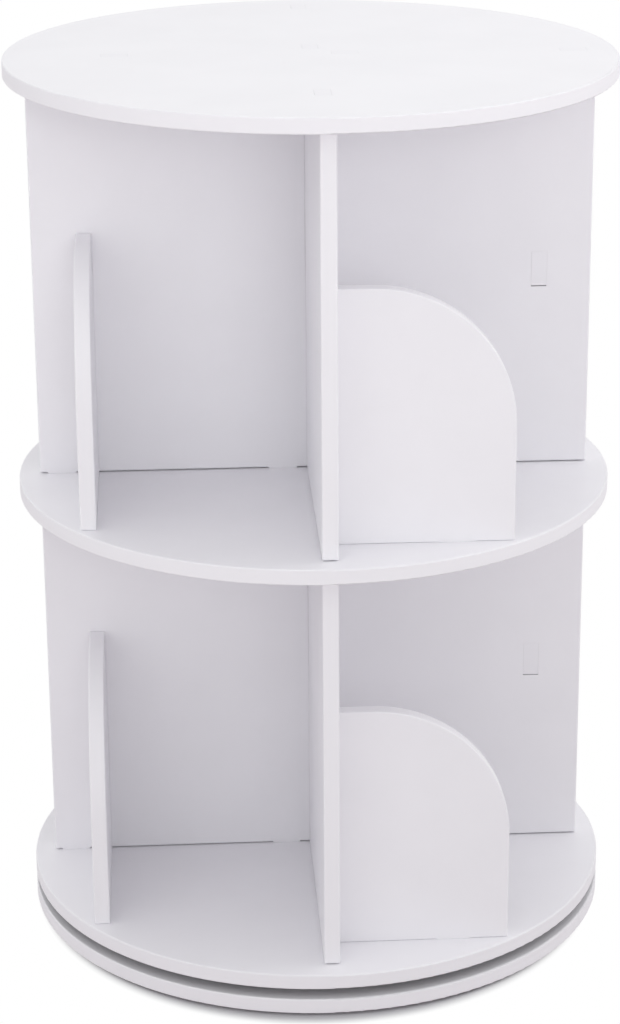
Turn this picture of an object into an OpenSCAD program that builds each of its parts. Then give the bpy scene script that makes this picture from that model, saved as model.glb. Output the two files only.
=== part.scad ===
// Two-tier revolving bookcase. Four round boards carry two crosses of divider boards, which are
// tabbed through the shelves and lapped over each other, and each of the eight bays has a bookend.
// The case turns on a flat ball race between the bottom shelf and the base board.
// Origin: on the turning axis, at floor level. +Z is up and -Y is the front.

/* [Boards] */
// Diameter of the four round boards
board_d = 460; // [430:1:500]
// Thickness of every board
board_t = 12; // [11:0.5:16]
// Radius of the eased edges of every board
edge_r = 1.2; // [0.4:0.1:2]

/* [Tiers] */
// Clear height of one tier, between its two round boards
tier_h = 313.5; // [290:0.5:360]

/* [Dividers] */
// Distance from a divider's end to the rim of the round boards
rim_margin = 16; // [6:1:24]
// Width of each tab on a divider's edges
tab_w = 20; // [14:1:26]
// Distance from a divider's end to its outermost tab
tab_margin = 7; // [5:1:14]
// Distance from the turning axis to the middle of the innermost tab
tab_shift = 25; // [23:1:34]
// Height by which a divider's foot stands clear of its shelf between the tabs
foot_gap = 0.8; // [0.4:0.1:1]

/* [Bookends] */
// Height of a bookend above its shelf
bookend_h = 192; // [170:1:230]
// Length of a bookend, out from the divider that it is fixed to
bookend_l = 131; // [115:1:140]
// Radius of a bookend's round top corner
corner_r = 104; // [60:1:112]
// Distance from the divider's end to the middle of the bookend's thickness
bookend_inset = 40; // [38:1:50]
// Width of the tab under a bookend
foot_tab_w = 26; // [18:1:34]
// Distance from a bookend's outer end to the tab under it
foot_tab_inset = 29; // [20:1:36]
// Height of the tenon that goes through the divider
tenon_h = 27; // [20:1:36]
// Distance from a bookend's top edge down to its tenon
tenon_drop = 21; // [14:1:30]

/* [Ball race] */
// Height of the gap that the ball race fills
race_h = 8.5; // [8.3:0.1:10]
// Diameter of the circle through the middles of the balls
ball_circle_d = 249; // [220:1:300]
// Width of the outer race's ring, from its bore to its rim
outer_race_w = 24; // [20:0.5:34]
// Width of the inner race's ring, from its bore to its rim
inner_race_w = 23; // [20:0.5:34]
// Diameter of a ball
ball_d = 5; // [4.4:0.1:5.4]
// Number of balls
ball_count = 36; // [24:1:48]
// Radial gap between the two races, where the cage runs
race_gap = 3; // [2.8:0.1:3.4]
// Radial thickness of the ball cage
cage_t = 2; // [1.6:0.1:2.2]

/* [Screws] */
// Diameter of a screw's shank
screw_d = 3.5; // [3:0.1:4]
// Diameter of a screw's countersunk head
screw_head_d = 7; // [6:0.1:8]
// Depth that a screw holds in its board
screw_grip = 9; // [7:0.5:9.5]
// Number of screws through each race
screw_count = 6; // [4:1:8]
// Diameter of the hole in the base board through which the inner race's screws are driven
access_d = 16; // [13:1:18]

/* [Foot pads] */
// Diameter of a foot pad
foot_d = 30; // [20:1:40]
// Thickness of a foot pad
foot_h = 2; // [1.5:0.1:5]
// Number of foot pads
foot_count = 6; // [3:1:8]
// Distance from a foot pad's edge to the rim of the base board
foot_inset = 10; // [6:1:30]

/* [Fits] */
// Clearance on each side of a tab, tenon or lap in its slot
slot_fit = 0.1; // [0.05:0.05:0.3]
// Play below a bookend's tenon in its slot, so that the bookend stands on its shelf
tenon_play = 0.8; // [0.3:0.1:1]
// Clearance between a ball and the grooves that it runs in
ball_fit = 0.05; // [0.03:0.01:0.1]
// Clearance between a ball and its pocket in the cage
pocket_fit = 0.1; // [0.05:0.05:0.2]
// Height by which each race stands clear of the board that it isn't screwed to
running_gap = 1; // [0.6:0.1:1.2]
// Clearance round a screw in its holes
screw_fit = 0.05; // [0.03:0.01:0.1]

/* [Hidden] */
$fn = 96;

// How far a cutting shape reaches past the surface that it cuts
over = 1;

// How far the seat on each side of a divider's tab reaches, to hold its foot clear of the shelf
seat_w = 1;

// Heights of the undersides of the round boards, and of the two tiers' floors
base_z = foot_h;
race_z = base_z + board_t;
bottom_z = race_z + race_h;
lower_floor = bottom_z + board_t;
middle_z = lower_floor + tier_h;
upper_floor = middle_z + board_t;
top_z = upper_floor + tier_h;

// Dividers: half width, and the places of the tabs along the bottom edge from the axis.
// The top edge has the same places mirrored, so that the tabs of two tiers miss each other.
divider_r = board_d / 2 - rim_margin;
outer_tab = divider_r - tab_margin - tab_w / 2;
bottom_tabs = [for (k = [0:2]) k * (outer_tab - tab_shift) - outer_tab];
top_tabs = [for (x = bottom_tabs) -x];

// Bookends: distance of their middle planes from the axis, and the low side of the tenon
bookend_y = divider_r - bookend_inset;
tenon_z = bookend_h - tenon_drop - tenon_h;
foot_tab_x = board_t / 2 + bookend_l - foot_tab_inset - foot_tab_w / 2;

// Ball race
ball_circle_r = ball_circle_d / 2;
ball_z = race_z + race_h / 2;
outer_race_bore_r = ball_circle_r + race_gap / 2;
outer_race_r = outer_race_bore_r + outer_race_w;
inner_race_r = ball_circle_r - race_gap / 2;
inner_race_bore_r = inner_race_r - inner_race_w;
groove_r = ball_d / 2 + ball_fit;
outer_screw_r = (outer_race_bore_r + outer_race_r) / 2;
inner_screw_r = (inner_race_r + inner_race_bore_r) / 2;
race_chamfer = 0.6;

// Screws: height of the head's cone, its flat land, and the cross recess
head_land = 0.3;
head_h = head_land + (screw_head_d - screw_d) / 2;
screw_tip_h = screw_d;
recess_w = 0.9;
recess_l = 3.6;
recess_depth = 1.4;
screw_step = 360 / screw_count;

// ---- Shapes that repeat ----

// Rectangle from the origin with four corners of radius r
module eased_rect(w, h, r) {
    translate([r, 0]) square([w - 2 * r, h]);
    translate([0, r]) square([w, h - 2 * r]);
    for (x = [r, w - r], y = [r, h - r]) translate([x, y]) circle(r = r);
}

// Standing board of length l along X and height h, with every edge eased. It is centred on Y.
module standing_board(l, h) {
    intersection() {
        translate([0, -board_t / 2, 0]) rotate([90, 0, 90]) linear_extrude(l) eased_rect(board_t, h, edge_r);
        translate([0, -board_t / 2, 0]) linear_extrude(h) eased_rect(l, board_t, edge_r);
        translate([0, board_t / 2, 0]) rotate([90, 0, 0]) linear_extrude(board_t) eased_rect(l, h, edge_r);
    }
}

// Disc of radius r and the boards' thickness, with its rim eased on both faces
module eased_disc(r, sweep = 360) {
    rotate_extrude(angle = sweep) intersection() {
        translate([-r, 0]) eased_rect(2 * r, board_t, edge_r);
        square([r, board_t]);
    }
}

// Upright block of a tab, or of the slot for it with fit on every side, centred on the axis
module tab_block(w, h, fit = 0) {
    translate([-w / 2 - fit, -board_t / 2 - fit, 0]) cube([w + 2 * fit, board_t + 2 * fit, h]);
}

// Slots through a round board for the tabs of both dividers at the given places
module divider_slots(places) {
    for (turn = [0, 90], x = places)
        rotate(turn) translate([x, 0, -over]) tab_block(tab_w, board_t + 2 * over, slot_fit);
}

// Slots through a round board for the tabs of the four bookends that stand on it
module bookend_slots() {
    for (turn = [0:90:270])
        rotate(turn) translate([foot_tab_x, -bookend_y, -over])
            tab_block(foot_tab_w, board_t + 2 * over, slot_fit);
}

// Countersunk screw with its head's flat face at z = 0, pointing down, for a grip below a race
module screw() {
    reach = race_h - running_gap + screw_grip;
    difference() {
        union() {
            translate([0, 0, -head_land]) cylinder(d = screw_head_d, h = head_land);
            translate([0, 0, -head_h]) cylinder(d1 = screw_d, d2 = screw_head_d, h = head_h - head_land);
            translate([0, 0, -reach + screw_tip_h]) cylinder(d = screw_d, h = reach - screw_tip_h - head_land);
            translate([0, 0, -reach]) cylinder(d1 = recess_w, d2 = screw_d, h = screw_tip_h);
        }
        for (turn = [0, 90]) rotate(turn)
            translate([-recess_l / 2, -recess_w / 2, -recess_depth]) cube([recess_l, recess_w, recess_depth + over]);
    }
}

// Cutter for a screw's clearance and countersink through a race, with the head's face at z = 0
module screw_hole() {
    translate([0, 0, -race_h]) cylinder(r = screw_d / 2 + screw_fit, h = race_h);
    translate([0, 0, -head_h - screw_fit])
        cylinder(d1 = screw_d, d2 = screw_head_d + 2 * screw_fit, h = head_h - head_land);
    translate([0, 0, -head_land - screw_fit]) cylinder(d = screw_head_d + 2 * screw_fit, h = head_land + over);
}

// Blind hole for a screw's point, from z = 0 down
module pilot_hole() {
    translate([0, 0, -screw_grip - screw_fit]) cylinder(r = screw_d / 2 + screw_fit, h = screw_grip + over);
}

// Children repeated at the screws' angles on a circle of radius r
module on_screw_circle(r) {
    for (k = [0:screw_count - 1]) rotate((k + 0.5) * screw_step) translate([r, 0, 0]) children();
}

// Children turned upside down about z = 0
module upside_down() {
    rotate([180, 0, 0]) children();
}

// Ring of a race from radius r1 to r2, with its four edges chamfered, standing on z = 0
module race_ring(r1, r2, h) {
    c = race_chamfer;
    rotate_extrude() polygon([
        [r1 + c, 0], [r2 - c, 0], [r2, c], [r2, h - c], [r2 - c, h], [r1 + c, h], [r1, h - c], [r1, c]
    ]);
}

// Ring-shaped groove that the balls run in
module ball_groove() {
    translate([0, 0, ball_z]) rotate_extrude() translate([ball_circle_r, 0]) circle(r = groove_r);
}

// Round board whose underside is at height z
module shelf_board(z) {
    translate([0, 0, z]) difference() {
        eased_disc(board_d / 2);
        children();
    }
}

// Divider along X for a tier whose floor is at z = 0. It stands on the seats beside its tabs. The lap
// that takes the crossing divider is cut from the top edge down to half height, or from the bottom up.
module divider(lap_from_top) {
    lap_w = board_t + 2 * slot_fit;
    difference() {
        union() {
            translate([-divider_r, 0, foot_gap]) standing_board(2 * divider_r, tier_h - foot_gap);
            for (x = bottom_tabs) {
                translate([x, 0, -board_t]) tab_block(tab_w, board_t + foot_gap + 2 * edge_r);
                translate([x, 0, 0]) tab_block(tab_w + 2 * seat_w, foot_gap + 2 * edge_r);
            }
            for (x = top_tabs) translate([x, 0, tier_h - 2 * edge_r]) tab_block(tab_w, board_t + 2 * edge_r);
        }
        translate([-lap_w / 2, -board_t, lap_from_top ? tier_h / 2 : -over])
            cube([lap_w, 2 * board_t, tier_h / 2 + over]);
        for (x = [-bookend_y, bookend_y])
            translate([x - board_t / 2 - slot_fit, -board_t, tenon_z - tenon_play])
                cube([board_t + 2 * slot_fit, 2 * board_t, tenon_h + tenon_play + slot_fit]);
    }
}

// Bookend for the front right bay of a tier whose floor is at z = 0: a board with one large round
// corner, a tab into the shelf, and a tenon through the divider on its left
module bookend() {
    r = min(corner_r, bookend_l - edge_r, bookend_h - edge_r);
    translate([board_t / 2, -bookend_y, 0]) {
        difference() {
            standing_board(bookend_l, bookend_h);
            translate([bookend_l - r, -board_t, bookend_h - r]) cube([r + over, 2 * board_t, r + over]);
        }
        translate([bookend_l - r, board_t / 2, bookend_h - r]) rotate([90, 0, 0]) eased_disc(r, 90);
        translate([-board_t, -board_t / 2, tenon_z]) cube([board_t + 2 * edge_r, board_t, tenon_h]);
    }
    translate([foot_tab_x, -bookend_y, -board_t]) tab_block(foot_tab_w, board_t + 2 * edge_r);
}

// ---- Base and ball race ----

module base_board() {
    color("whitesmoke") difference() {
        shelf_board(base_z);
        translate([0, 0, race_z]) on_screw_circle(outer_screw_r) pilot_hole();
        rotate(screw_step / 2) translate([inner_screw_r, 0, base_z - over])
            cylinder(d = access_d, h = board_t + 2 * over);
    }
}

module foot_pads() {
    color("dimgray") for (k = [0:foot_count - 1])
        rotate(k * 360 / foot_count) translate([board_d / 2 - foot_inset - foot_d / 2, 0, 0])
            cylinder(d = foot_d, h = foot_h);
}

module outer_race() {
    top = race_h - running_gap;
    color("silver") difference() {
        translate([0, 0, race_z]) race_ring(outer_race_bore_r, outer_race_r, top);
        ball_groove();
        translate([0, 0, race_z + top]) on_screw_circle(outer_screw_r) screw_hole();
    }
}

module outer_race_screws() {
    color("darkgray") translate([0, 0, race_z + race_h - running_gap]) on_screw_circle(outer_screw_r) screw();
}

module ball_cage() {
    color("ivory") difference() {
        translate([0, 0, race_z + running_gap]) rotate_extrude()
            translate([ball_circle_r - cage_t / 2, 0]) square([cage_t, race_h - 2 * running_gap]);
        for (k = [0:ball_count - 1]) rotate(k * 360 / ball_count)
            translate([ball_circle_r - cage_t, 0, ball_z]) rotate([0, 90, 0])
                cylinder(r = ball_d / 2 + pocket_fit, h = 2 * cage_t);
    }
}

module bearing_balls() {
    color("gainsboro") for (k = [0:ball_count - 1])
        rotate(k * 360 / ball_count) translate([ball_circle_r, 0, ball_z]) sphere(d = ball_d);
}

module inner_race() {
    color("silver") difference() {
        translate([0, 0, race_z + running_gap])
            race_ring(inner_race_bore_r, inner_race_r, race_h - running_gap);
        ball_groove();
        translate([0, 0, race_z + running_gap]) on_screw_circle(inner_screw_r) upside_down() screw_hole();
    }
}

module inner_race_screws() {
    color("darkgray") translate([0, 0, race_z + running_gap])
        on_screw_circle(inner_screw_r) upside_down() screw();
}

// ---- Case ----

module bottom_shelf() {
    color("whitesmoke") shelf_board(bottom_z) {
        divider_slots(bottom_tabs);
        bookend_slots();
        on_screw_circle(inner_screw_r) upside_down() pilot_hole();
    }
}

module middle_shelf() {
    color("whitesmoke") shelf_board(middle_z) {
        divider_slots(bottom_tabs);
        divider_slots(top_tabs);
        bookend_slots();
    }
}

module top_board() {
    color("whitesmoke") shelf_board(top_z) divider_slots(top_tabs);
}

// The divider along X has its lap open at the top, and the one along Y drops over it
module divider_x(floor_z) {
    color("white") translate([0, 0, floor_z]) divider(true);
}

module divider_y(floor_z) {
    color("white") translate([0, 0, floor_z]) rotate(90) divider(false);
}

// Bookend turned into one of the four bays of a tier
module bay_bookend(floor_z, turn) {
    color("white") translate([0, 0, floor_z]) rotate(turn) bookend();
}

base_board();
foot_pads();
outer_race();
outer_race_screws();
ball_cage();
bearing_balls();
inner_race();
inner_race_screws();
bottom_shelf();
middle_shelf();
top_board();
divider_x(lower_floor);  // lower_divider_x
divider_y(lower_floor);  // lower_divider_y
divider_x(upper_floor);  // upper_divider_x
divider_y(upper_floor);  // upper_divider_y
bay_bookend(lower_floor, 0);  // lower_bookend_front_right
bay_bookend(lower_floor, 90);  // lower_bookend_back_right
bay_bookend(lower_floor, 180);  // lower_bookend_back_left
bay_bookend(lower_floor, 270);  // lower_bookend_front_left
bay_bookend(upper_floor, 0);  // upper_bookend_front_right
bay_bookend(upper_floor, 90);  // upper_bookend_back_right
bay_bookend(upper_floor, 180);  // upper_bookend_back_left
bay_bookend(upper_floor, 270);  // upper_bookend_front_left
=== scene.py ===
"""Two-tier revolving bookcase in white lacquered board, turning on a flat ball race."""
import math

import bpy
from mathutils import Matrix, Vector


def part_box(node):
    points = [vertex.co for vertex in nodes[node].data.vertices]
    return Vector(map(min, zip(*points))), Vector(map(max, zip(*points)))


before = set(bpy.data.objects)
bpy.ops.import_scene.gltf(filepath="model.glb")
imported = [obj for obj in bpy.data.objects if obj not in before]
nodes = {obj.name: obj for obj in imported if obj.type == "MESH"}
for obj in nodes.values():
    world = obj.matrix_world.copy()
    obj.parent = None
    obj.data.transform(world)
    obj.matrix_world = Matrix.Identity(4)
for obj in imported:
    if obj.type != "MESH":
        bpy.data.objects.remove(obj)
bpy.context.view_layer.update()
scene = bpy.context.scene
scene.view_settings.view_transform = "Standard"


# ---- Camera ----
# A 100 mm lens stands two metres in front of the case and looks down on its top board. The
# dividers' front arm points a little to the right of it.
LENS_MM = 100
CAMERA_DISTANCE = 2.1147
CAMERA_HEIGHT = 1.0877
CAMERA_SIDE = math.radians(3.014)
CAMERA_HEADING = CAMERA_SIDE + math.radians(1.19)
CAMERA_DOWN = math.radians(19.9447)
CAMERA_ROLL = math.radians(0.016)
FRAME_HEIGHT_PX = 1024
CAMERA_SHIFT_PX = -60

forward = Vector((
    math.sin(CAMERA_HEADING) * math.cos(CAMERA_DOWN),
    math.cos(CAMERA_HEADING) * math.cos(CAMERA_DOWN),
    -math.sin(CAMERA_DOWN),
))
right = Vector((math.cos(CAMERA_HEADING), -math.sin(CAMERA_HEADING), 0))
up = right.cross(forward)
camera_x = right * math.cos(CAMERA_ROLL) + up * math.sin(CAMERA_ROLL)
camera_y = up * math.cos(CAMERA_ROLL) - right * math.sin(CAMERA_ROLL)
camera_data = bpy.data.cameras.new("camera")
camera_data.lens = LENS_MM
camera_data.shift_x = CAMERA_SHIFT_PX / FRAME_HEIGHT_PX
camera = bpy.data.objects.new("camera", camera_data)
camera.matrix_world = Matrix.Translation((
    -CAMERA_DISTANCE * math.sin(CAMERA_SIDE),
    -CAMERA_DISTANCE * math.cos(CAMERA_SIDE),
    CAMERA_HEIGHT,
)) @ Matrix((camera_x, camera_y, -forward)).transposed().to_4x4()
scene.collection.objects.link(camera)
scene.camera = camera


# ---- Base board and the three round boards of the case ----
# Four discs of 12 mm fibreboard, cut on a router, eased at the rims and sprayed with satin white
# lacquer. The slots take the tabs of the standing boards. The bottom shelf screws to the race, and
# its underside, which nobody sees, is painted a blotchy, matt mid grey: painted shade that darkens
# the gap above the base board.
LACQUER_WHITE = "#F2F1F5"
LACQUER_THIN = "#F0EFF3"
LACQUER_EDGE = "#F1F0F4"
# Painted shade: the blotchy mid greys of faces turned down, which darken the gap above the base board
UNDERSIDE_SHADE_GREY = "#8A878B"
UNDERSIDE_SHADE_DARK = "#7D7A7F"
FILM_MM = 70
HAZE_MM = 25
PEEL_MM = 2.2
FIBRE_MM = 0.9
SURFACE_DEPTH = 0.00006  # in metres, as every depth of relief here
BLOTCH_MM = 14
EDGE_ROUGHNESS = 0.6
UNDERSIDE_ROUGHNESS = 0.75
FACES_DOWN = -0.9  # Z of a normal, below which its face is an underside


def linear(hex_value):
    """Turn an sRGB hex colour into linear RGBA."""
    channels = [int(hex_value[i:i + 2], 16) / 255 for i in (1, 3, 5)]
    light = [c / 12.92 if c <= 0.04045 else ((c + 0.055) / 1.055) ** 2.4 for c in channels]
    return (*light, 1)


def per_mm(size_mm):
    """Scale of a pattern, in object space in metres, that repeats about every size_mm."""
    return 1000 / size_mm


def add_node(tree, kind, inputs=(), **settings):
    """Add a node with its settings and links.

    Each input is a socket's name or number with a value, or with the socket to link it to.
    """
    made = tree.nodes.new("ShaderNode" + kind)
    for name, value in settings.items():
        setattr(made, name, value)
    for socket, value in dict(inputs).items():
        if isinstance(value, bpy.types.NodeSocket):
            tree.links.new(value, made.inputs[socket])
        else:
            made.inputs[socket].default_value = value
    return made


def new_material(name, sockets):
    """Make a material with one Principled shader, and set its plain sockets."""
    material = bpy.data.materials.new(name)
    material.use_nodes = True
    shader = material.node_tree.nodes["Principled BSDF"]
    for socket, value in sockets.items():
        shader.inputs[socket].default_value = value
    return material, material.node_tree, shader


def give(material, *names):
    """Put one material on CAD nodes."""
    for name in names:
        slots = nodes[name].data.materials
        slots.clear()
        slots.append(material)


def lacquered_board(name, face_normal, painted_shade_underside=False):
    """Satin white lacquer on fibreboard, for boards whose broad faces look along face_normal.

    Sprayed faces have a faint orange peel of about 2 mm and a film that varies over a hand's
    breadth. The cut edges drink the lacquer, so they are a touch greyer, rougher and fibrous.
    Faces turned down can instead take a blotchy, matt mid grey: painted shade that darkens the
    gap under the board.
    """
    material, tree, shader = new_material(name, {"IOR": 1.5})
    place = add_node(tree, "TexCoord").outputs["Object"]
    normal = add_node(tree, "NewGeometry").outputs["True Normal"]
    facing = add_node(tree, "VectorMath", {0: normal, 1: face_normal}, operation="DOT_PRODUCT")
    facing = add_node(tree, "Math", {0: facing.outputs["Value"]}, operation="ABSOLUTE")
    edge = add_node(tree, "MapRange", {
        "Value": facing.outputs[0], "From Min": 0.9, "From Max": 0.45,
    }, interpolation_type="SMOOTHSTEP").outputs["Result"]

    film = add_node(tree, "TexNoise", {
        "Vector": place, "Scale": per_mm(FILM_MM), "Detail": 3, "Roughness": 0.55,
    }).outputs["Fac"]
    film = add_node(tree, "MapRange", {
        "Value": film, "From Min": 0.35, "From Max": 0.65,
    }).outputs["Result"]
    face_colour = add_node(tree, "Mix", {
        0: film, 6: linear(LACQUER_THIN), 7: linear(LACQUER_WHITE),
    }, data_type="RGBA").outputs[2]
    colour = add_node(tree, "Mix", {
        0: edge, 6: face_colour, 7: linear(LACQUER_EDGE),
    }, data_type="RGBA").outputs[2]
    haze = add_node(tree, "TexNoise", {
        "Vector": place, "Scale": per_mm(HAZE_MM), "Detail": 4,
    }).outputs["Fac"]
    face_gloss = add_node(tree, "MapRange", {
        "Value": haze, "From Min": 0.3, "From Max": 0.7, "To Min": 0.4, "To Max": 0.44,
    }).outputs["Result"]
    gloss = add_node(tree, "Mix", {
        0: edge, 2: face_gloss, 3: EDGE_ROUGHNESS,
    }, data_type="FLOAT").outputs[0]

    fibrous = edge
    if painted_shade_underside:
        upward = add_node(tree, "SeparateXYZ", {0: normal}).outputs["Z"]
        below = add_node(tree, "Math", {0: upward, 1: FACES_DOWN}, operation="LESS_THAN").outputs[0]
        blotches = add_node(tree, "TexNoise", {
            "Vector": place, "Scale": per_mm(BLOTCH_MM), "Detail": 5,
        }).outputs["Fac"]
        blotches = add_node(tree, "MapRange", {
            "Value": blotches, "From Min": 0.35, "From Max": 0.65,
        }).outputs["Result"]
        # Painted shade: faces turned down take a blotchy mid grey, which darkens the gap under the
        # board
        painted_shade = add_node(tree, "Mix", {
            0: blotches, 6: linear(UNDERSIDE_SHADE_DARK), 7: linear(UNDERSIDE_SHADE_GREY),
        }, data_type="RGBA").outputs[2]
        colour = add_node(tree, "Mix", {0: below, 6: colour, 7: painted_shade}, data_type="RGBA").outputs[2]
        gloss = add_node(tree, "Mix", {
            0: below, 2: gloss, 3: UNDERSIDE_ROUGHNESS,
        }, data_type="FLOAT").outputs[0]
        fibrous = add_node(tree, "Math", {0: edge, 1: below}, operation="MAXIMUM").outputs[0]
    tree.links.new(colour, shader.inputs["Base Color"])
    tree.links.new(gloss, shader.inputs["Roughness"])

    peel = add_node(tree, "TexNoise", {
        "Vector": place, "Scale": per_mm(PEEL_MM), "Detail": 2,
    }).outputs["Fac"]
    fibres = add_node(tree, "TexNoise", {
        "Vector": place, "Scale": per_mm(FIBRE_MM), "Detail": 4,
    }).outputs["Fac"]
    relief = add_node(tree, "Mix", {0: fibrous, 2: peel, 3: fibres}, data_type="FLOAT").outputs[0]
    bump = add_node(tree, "Bump", {"Strength": 0.35, "Distance": SURFACE_DEPTH, "Height": relief})
    tree.links.new(bump.outputs["Normal"], shader.inputs["Normal"])
    return material


give(lacquered_board("white_lacquer_flat_boards", (0, 0, 1)), "base_board", "middle_shelf", "top_board")
# The bottom shelf's faces turned down are painted mid grey, as painted shade for the gap above the base
# board
give(lacquered_board("white_lacquer_painted_shade_underside", (0, 0, 1), painted_shade_underside=True), "bottom_shelf")


# ---- Foot pads ----
# Six discs die-cut from black rubber sheet and glued under the base board, so that it stays put
# while the case turns. The sheet has a fine pebbled skin and picks up dust.
RUBBER_BLACK = "#2B2B2D"
RUBBER_DUSTY = "#4A494A"
DUST_MM = 9
PEBBLE_MM = 0.8
PEBBLE_DEPTH = 0.0001

pad_rubber, tree, shader = new_material("pebbled_black_rubber", {"Roughness": 0.85, "IOR": 1.52})
place = add_node(tree, "TexCoord").outputs["Object"]
dust = add_node(tree, "TexNoise", {
    "Vector": place, "Scale": per_mm(DUST_MM), "Detail": 5,
}).outputs["Fac"]
dust = add_node(tree, "MapRange", {"Value": dust, "From Min": 0.5, "From Max": 0.8}).outputs["Result"]
colour = add_node(tree, "Mix", {
    0: dust, 6: linear(RUBBER_BLACK), 7: linear(RUBBER_DUSTY),
}, data_type="RGBA").outputs[2]
tree.links.new(colour, shader.inputs["Base Color"])
pebbles = add_node(tree, "TexVoronoi", {
    "Vector": place, "Scale": per_mm(PEBBLE_MM),
}).outputs["Distance"]
bump = add_node(tree, "Bump", {
    "Strength": 0.6, "Distance": PEBBLE_DEPTH, "Height": pebbles,
}, invert=True)
tree.links.new(bump.outputs["Normal"], shader.inputs["Normal"])
give(pad_rubber, "foot_pads")


# ---- Ball race ----
# Two flat rings of cast aluminium, turned all over on a lathe with a ball groove in the facing
# walls. The tool leaves a fine round feed mark, about one line every 0.4 mm.
ALUMINIUM_LIGHT = "#D6D7D9"
ALUMINIUM_DULL = "#C3C4C7"
FEED_MM = 1.2  # drawn at three times the real feed, so that it shows
FEED_DEPTH = 0.00012
CLOUD_MM = 18

race_metal, tree, shader = new_material("turned_aluminium", {"Metallic": 1})
place = add_node(tree, "TexCoord").outputs["Object"]
flat_place = add_node(tree, "VectorMath", {0: place, 1: (1, 1, 0)}, operation="MULTIPLY").outputs[0]
radius = add_node(tree, "VectorMath", {0: flat_place}, operation="LENGTH").outputs["Value"]
ring_place = add_node(tree, "CombineXYZ", {"X": radius}).outputs[0]
feed = add_node(tree, "TexNoise", {
    "Vector": ring_place, "Scale": per_mm(FEED_MM), "Detail": 2,
}).outputs["Fac"]
cloud = add_node(tree, "TexNoise", {
    "Vector": place, "Scale": per_mm(CLOUD_MM), "Detail": 4,
}).outputs["Fac"]
colour = add_node(tree, "Mix", {
    0: cloud, 6: linear(ALUMINIUM_DULL), 7: linear(ALUMINIUM_LIGHT),
}, data_type="RGBA").outputs[2]
tree.links.new(colour, shader.inputs["Base Color"])
gloss = add_node(tree, "MapRange", {
    "Value": feed, "From Min": 0.3, "From Max": 0.7, "To Min": 0.2, "To Max": 0.44,
}).outputs["Result"]
tree.links.new(gloss, shader.inputs["Roughness"])
bump = add_node(tree, "Bump", {"Strength": 0.6, "Distance": FEED_DEPTH, "Height": feed})
tree.links.new(bump.outputs["Normal"], shader.inputs["Normal"])
give(race_metal, "outer_race", "inner_race")


# ---- Race screws ----
# Countersunk wood screws with a cross recess, pressed and rolled from steel wire and plated with
# zinc. The plating is bright and bluish, with a soft bloom where it is handled.
ZINC_BRIGHT = "#CBD0D6"
ZINC_BLOOM = "#AEB4BA"
BLOOM_MM = 2.5
BLOOM_DEPTH = 0.00003

screw_metal, tree, shader = new_material("bright_zinc_plate", {"Metallic": 1})
place = add_node(tree, "TexCoord").outputs["Object"]
bloom = add_node(tree, "TexNoise", {
    "Vector": place, "Scale": per_mm(BLOOM_MM), "Detail": 4,
}).outputs["Fac"]
colour = add_node(tree, "Mix", {
    0: bloom, 6: linear(ZINC_BRIGHT), 7: linear(ZINC_BLOOM),
}, data_type="RGBA").outputs[2]
tree.links.new(colour, shader.inputs["Base Color"])
gloss = add_node(tree, "MapRange", {"Value": bloom, "To Min": 0.2, "To Max": 0.42}).outputs["Result"]
tree.links.new(gloss, shader.inputs["Roughness"])
bump = add_node(tree, "Bump", {"Strength": 0.3, "Distance": BLOOM_DEPTH, "Height": bloom})
tree.links.new(bump.outputs["Normal"], shader.inputs["Normal"])
give(screw_metal, "outer_race_screws", "inner_race_screws")


# ---- Ball cage ----
# A thin ring moulded in natural nylon, with a round pocket for each ball. Nylon is milky and
# slightly waxy, and shows faint flow lines round the ring.
NYLON_PALE = "#EDE9DC"
NYLON_WARM = "#E2DCC8"
FLOW_MM = 14
SKIN_MM = 1
SKIN_DEPTH = 0.00004

cage_plastic, tree, shader = new_material("moulded_nylon", {
    "IOR": 1.53, "Subsurface Weight": 0.15, "Subsurface Radius": (0.002, 0.0015, 0.001),
})
place = add_node(tree, "TexCoord").outputs["Object"]
flow = add_node(tree, "TexNoise", {
    "Vector": place, "Scale": per_mm(FLOW_MM), "Detail": 3, "Distortion": 1,
}).outputs["Fac"]
colour = add_node(tree, "Mix", {
    0: flow, 6: linear(NYLON_PALE), 7: linear(NYLON_WARM),
}, data_type="RGBA").outputs[2]
tree.links.new(colour, shader.inputs["Base Color"])
gloss = add_node(tree, "MapRange", {"Value": flow, "To Min": 0.38, "To Max": 0.52}).outputs["Result"]
tree.links.new(gloss, shader.inputs["Roughness"])
skin = add_node(tree, "TexNoise", {
    "Vector": place, "Scale": per_mm(SKIN_MM), "Detail": 3,
}).outputs["Fac"]
bump = add_node(tree, "Bump", {"Strength": 0.3, "Distance": SKIN_DEPTH, "Height": skin})
tree.links.new(bump.outputs["Normal"], shader.inputs["Normal"])
give(cage_plastic, "ball_cage")


# ---- Bearing balls ----
# Thirty-six balls of hardened chrome steel, ground and lapped to a mirror, with a thin smear of
# grease that dulls them in patches.
BALL_STEEL = "#D2D3D6"
BALL_GREASE = "#B9B6A8"
GREASE_MM = 2
GREASE_DEPTH = 0.00002

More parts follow.
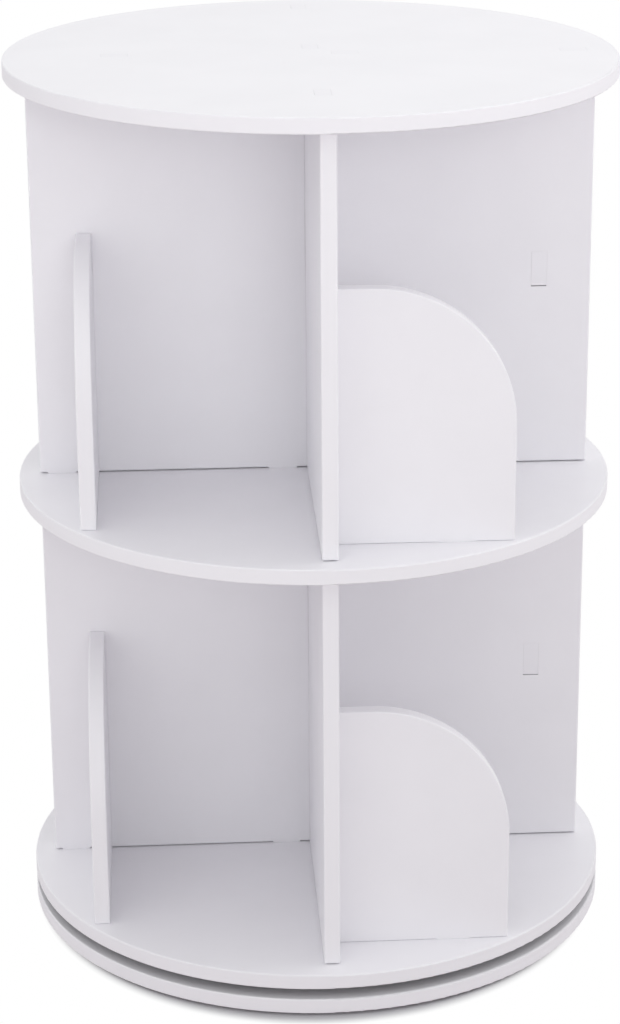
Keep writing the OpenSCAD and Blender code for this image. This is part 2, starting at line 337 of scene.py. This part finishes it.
ball_metal, tree, shader = new_material("lapped_steel", {"Metallic": 1})
place = add_node(tree, "TexCoord").outputs["Object"]
grease = add_node(tree, "TexNoise", {
    "Vector": place, "Scale": per_mm(GREASE_MM), "Detail": 3,
}).outputs["Fac"]
grease = add_node(tree, "MapRange", {
    "Value": grease, "From Min": 0.5, "From Max": 0.62,
}).outputs["Result"]
colour = add_node(tree, "Mix", {
    0: grease, 6: linear(BALL_STEEL), 7: linear(BALL_GREASE),
}, data_type="RGBA").outputs[2]
tree.links.new(colour, shader.inputs["Base Color"])
gloss = add_node(tree, "MapRange", {"Value": grease, "To Min": 0.06, "To Max": 0.3}).outputs["Result"]
tree.links.new(gloss, shader.inputs["Roughness"])
bump = add_node(tree, "Bump", {"Strength": 0.2, "Distance": GREASE_DEPTH, "Height": grease})
tree.links.new(bump.outputs["Normal"], shader.inputs["Normal"])
give(ball_metal, "bearing_balls")


# ---- Dividers ----
# Two long boards to a tier, lapped over each other at the turning axis and tabbed through the
# round boards above and below. The two crosses carry all that stands above them.
boards_facing_y = lacquered_board("white_lacquer_boards_facing_y", (0, 1, 0))
boards_facing_x = lacquered_board("white_lacquer_boards_facing_x", (1, 0, 0))
give(boards_facing_y, "lower_divider_x", "upper_divider_x")
give(boards_facing_x, "lower_divider_y", "upper_divider_y")


# ---- Bookends ----
# A short board with one round corner in each of the eight bays. It has a tab into its shelf and a
# tenon through the divider beside it, and is sawn and lacquered like the dividers.
for tier in ("lower", "upper"):
    give(boards_facing_y, tier + "_bookend_front_right", tier + "_bookend_back_left")
    give(boards_facing_x, tier + "_bookend_back_right", tier + "_bookend_front_left")


# ---- Studio ----
# A pale matt floor, white to the camera a little way out from the base, so that only the contact
# shadow stays. An even white surround and five soft lamps light the case.
FLOOR_PALE = "#DCD5D8"
# Painted shade: the floor's colour to the camera, darker than to light, which deepens the contact
# shadow
FLOOR_SHADED = "#BDBDC0"
FLOOR_HALF = 4
SHADOW_MARGIN = 0.001  # from the base's rim to where the floor starts to fade to white
SHADOW_FADE = 0.014
SHADOW_SQUEEZE = (1.07, 1, 0)  # makes the fading ring narrower from left to right
SHADOW_SIDEWAYS = (0.002, 0, 0)  # and moves it a little to the left
WORLD_LEVEL = 0.886

base_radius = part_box("base_board")[1][0]
shadow_radius = base_radius + SHADOW_MARGIN
floor_mesh = bpy.data.meshes.new("floor")
floor_mesh.from_pydata([
    (-FLOOR_HALF, -FLOOR_HALF, 0), (FLOOR_HALF, -FLOOR_HALF, 0),
    (FLOOR_HALF, FLOOR_HALF, 0), (-FLOOR_HALF, FLOOR_HALF, 0),
], [], [(0, 1, 2, 3)])
floor = bpy.data.objects.new("floor", floor_mesh)
scene.collection.objects.link(floor)

floor_paper, tree, shader = new_material("matt_paper_floor", {
    "Roughness": 0.9, "Specular IOR Level": 0.1,
})


def seen_directly(tree):
    """1 for rays from the camera and for what gloss or glass shows of the surround, else 0."""
    path = add_node(tree, "LightPath").outputs
    seen = path["Is Camera Ray"]
    for kind in ("Is Glossy Ray", "Is Transmission Ray"):
        seen = add_node(tree, "Math", {0: seen, 1: path[kind]}, operation="MAXIMUM").outputs[0]
    return seen


place = add_node(tree, "TexCoord").outputs["Object"]
place = add_node(tree, "VectorMath", {
    0: place, 1: SHADOW_SQUEEZE, 2: SHADOW_SIDEWAYS,
}, operation="MULTIPLY_ADD").outputs[0]
radius = add_node(tree, "VectorMath", {0: place}, operation="LENGTH").outputs["Value"]
open_floor = add_node(tree, "MapRange", {
    "Value": radius, "From Min": shadow_radius, "From Max": shadow_radius + SHADOW_FADE,
}, interpolation_type="SMOOTHSTEP").outputs["Result"]
seen = seen_directly(tree)
# Painted shade: the camera sees the floor a darker grey than light bounces off, which deepens the
# contact shadow
colour = add_node(tree, "Mix", {
    0: seen, 6: linear(FLOOR_PALE), 7: linear(FLOOR_SHADED),
}, data_type="RGBA").outputs[2]
tree.links.new(colour, shader.inputs["Base Color"])
white_part = add_node(tree, "Math", {0: open_floor, 1: seen}, operation="MULTIPLY").outputs[0]
white = add_node(tree, "Emission", {"Color": (1, 1, 1, 1), "Strength": 1}).outputs[0]
mixed = add_node(tree, "MixShader", {0: white_part, 1: shader.outputs[0], 2: white}).outputs[0]
tree.links.new(mixed, tree.nodes["Material Output"].inputs["Surface"])
floor_mesh.materials.append(floor_paper)

world = bpy.data.worlds.new("studio")
world.use_nodes = True
tree = world.node_tree
level = add_node(tree, "Mix", {
    0: seen_directly(tree), 2: WORLD_LEVEL, 3: 1,
}, data_type="FLOAT").outputs[0]
tree.links.new(level, tree.nodes["Background"].inputs["Strength"])
tree.nodes["Background"].inputs["Color"].default_value = (1, 1, 1, 1)
scene.world = world


def soft_lamp(name, place, aim, size, watts, spread=180):
    """Square softbox. A spread under 180 degrees is a honeycomb grid.

    A lamp with a grid is hidden from gloss, or it would leave a white glare on the top board.
    """
    lamp_data = bpy.data.lights.new(name, "AREA")
    lamp_data.size = size
    lamp_data.energy = watts
    lamp_data.spread = math.radians(spread)
    lamp = bpy.data.objects.new(name, lamp_data)
    lamp.location = place
    lamp.rotation_euler = (Vector(aim) - Vector(place)).to_track_quat("-Z", "Y").to_euler()
    lamp.visible_camera = False
    lamp.visible_glossy = spread == 180
    scene.collection.objects.link(lamp)


soft_lamp("lamp_front", place=(0.3, -2.4, 1.2), aim=(0, 0, 0.85), size=0.8, watts=0.52, spread=35)
soft_lamp("lamp_left_high", place=(-1.2, -1.6, 2.2), aim=(0, 0, 0.35), size=1, watts=1.4)
soft_lamp("lamp_left_low", place=(-0.7, -0.9, 0.35), aim=(0, 0, 0.35), size=0.5, watts=0.3)
soft_lamp("lamp_right_high", place=(1.13, 0, 1.53), aim=(0, 0, 0.4), size=0.6, watts=1.9)
soft_lamp("lamp_right", place=(1, -0.3, 0.8), aim=(0, 0, 0.5), size=0.5, watts=0.5)
